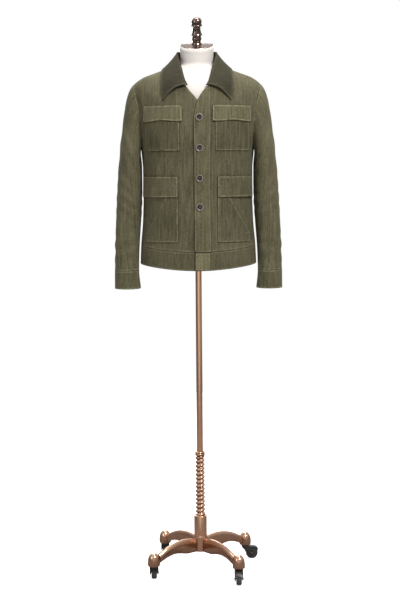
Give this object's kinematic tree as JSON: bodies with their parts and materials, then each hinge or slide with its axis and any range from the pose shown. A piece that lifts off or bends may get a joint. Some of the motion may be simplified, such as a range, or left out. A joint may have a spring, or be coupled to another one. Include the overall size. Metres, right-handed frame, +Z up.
{
  "type": "field jacket on a limbless dress form with a caster stand",
  "caption": "Needlecord field jacket with patch pockets and flaps, buttoned shut on a limbless dress form that turns on a screw stand with casters.",
  "frame": {"origin": "on the pole's axis at the floor, which is the middle of the bounding box's underside", "axes": "+Z up along the pole, -Y the way the jacket's front faces, +X to the wearer's left"},
  "size_m": [0.5252, 0.3782, 1.7522],
  "materials": {
    "needlecord": "olive fine-wale cotton corduroy",
    "collar_cord": "the same corduroy with its pile brushed the other way, so it looks darker",
    "horn": "dark horn look, glossy",
    "cream_cover": "smooth cream cotton cover",
    "copper": "polished rose copper plating",
    "black_nylon": "black nylon"
  },
  "bodies": {
    "base": {"hub": "copper", "leg_front_right": "copper", "leg_back_right": "copper", "leg_back_left": "copper", "leg_front_left": "copper", "bell_front_right": "copper", "bell_back_right": "copper", "bell_back_left": "copper", "bell_front_left": "copper"},
    "lift_collar": {"stop_ring": "copper"},
    "upper": {"back": "needlecord", "front_left": "needlecord", "front_right": "needlecord", "front_strip": "needlecord", "front_strip_foot": "needlecord", "waistband_front_left": "needlecord", "waistband_front_right": "needlecord", "waistband_back": "needlecord", "chest_pocket_left": "needlecord", "chest_pocket_right": "needlecord", "chest_flap_left": "needlecord", "chest_flap_right": "needlecord", "hip_pocket_left": "needlecord", "hip_pocket_right": "needlecord", "hip_flap_left": "needlecord", "hip_flap_right": "needlecord", "sleeve_left": "needlecord", "sleeve_right": "needlecord", "cuff_left": "needlecord", "cuff_right": "needlecord", "collar_fall": "collar_cord", "collar_stand": "collar_cord", "button_1": "horn", "button_2": "horn", "button_3": "horn", "button_4": "horn", "form_torso": "cream_cover", "neck_cap": "copper", "finial": "copper", "form_socket": "copper", "pole": "copper", "screw": "copper"},
    "caster_front_right": {"caster_fork_front_right": "black_nylon"},
    "wheel_front_right": {"caster_wheel_front_right": "black_nylon"},
    "caster_back_right": {"caster_fork_back_right": "black_nylon"},
    "wheel_back_right": {"caster_wheel_back_right": "black_nylon"},
    "caster_back_left": {"caster_fork_back_left": "black_nylon"},
    "wheel_back_left": {"caster_wheel_back_left": "black_nylon"},
    "caster_front_left": {"caster_fork_front_left": "black_nylon"},
    "wheel_front_left": {"caster_wheel_front_left": "black_nylon"}
  },
  "joints": [
    {"name": "form_lift", "type": "slide", "parent": "base", "child": "lift_collar", "axis": [0, 0, 1], "range_m": [-0.1, 0.03]},
    {"name": "form_turn", "type": "hinge", "parent": "lift_collar", "child": "upper", "pos_m": [0, 0, 0.25], "axis": [0, 0, 1], "range_deg": [-2680, 800]},
    {"name": "swivel_front_right", "type": "hinge", "parent": "base", "child": "caster_front_right", "pos_m": [0.1183, -0.14714, 0.047], "axis": [0, 0, 1], "continuous": true},
    {"name": "spin_front_right", "type": "hinge", "parent": "caster_front_right", "child": "wheel_front_right", "pos_m": [0.1183, -0.16914, 0.02], "axis": [1, 0, 0], "continuous": true},
    {"name": "swivel_back_right", "type": "hinge", "parent": "base", "child": "caster_back_right", "pos_m": [0.14714, 0.1183, 0.047], "axis": [0, 0, 1], "continuous": true},
    {"name": "spin_back_right", "type": "hinge", "parent": "caster_back_right", "child": "wheel_back_right", "pos_m": [0.16914, 0.1183, 0.02], "axis": [0, 1, 0], "continuous": true},
    {"name": "swivel_back_left", "type": "hinge", "parent": "base", "child": "caster_back_left", "pos_m": [-0.1183, 0.14714, 0.047], "axis": [0, 0, 1], "continuous": true},
    {"name": "spin_back_left", "type": "hinge", "parent": "caster_back_left", "child": "wheel_back_left", "pos_m": [-0.1183, 0.16914, 0.02], "axis": [-1, 0, 0], "continuous": true},
    {"name": "swivel_front_left", "type": "hinge", "parent": "base", "child": "caster_front_left", "pos_m": [-0.14714, -0.1183, 0.047], "axis": [0, 0, 1], "continuous": true},
    {"name": "spin_front_left", "type": "hinge", "parent": "caster_front_left", "child": "wheel_front_left", "pos_m": [-0.14714, -0.0963, 0.02], "axis": [-1, 0, 0], "continuous": true}
  ],
  "couplings": [
    {"joint": "form_lift", "follows": "form_turn", "m_per_rad": 0.0021327}
  ]
}
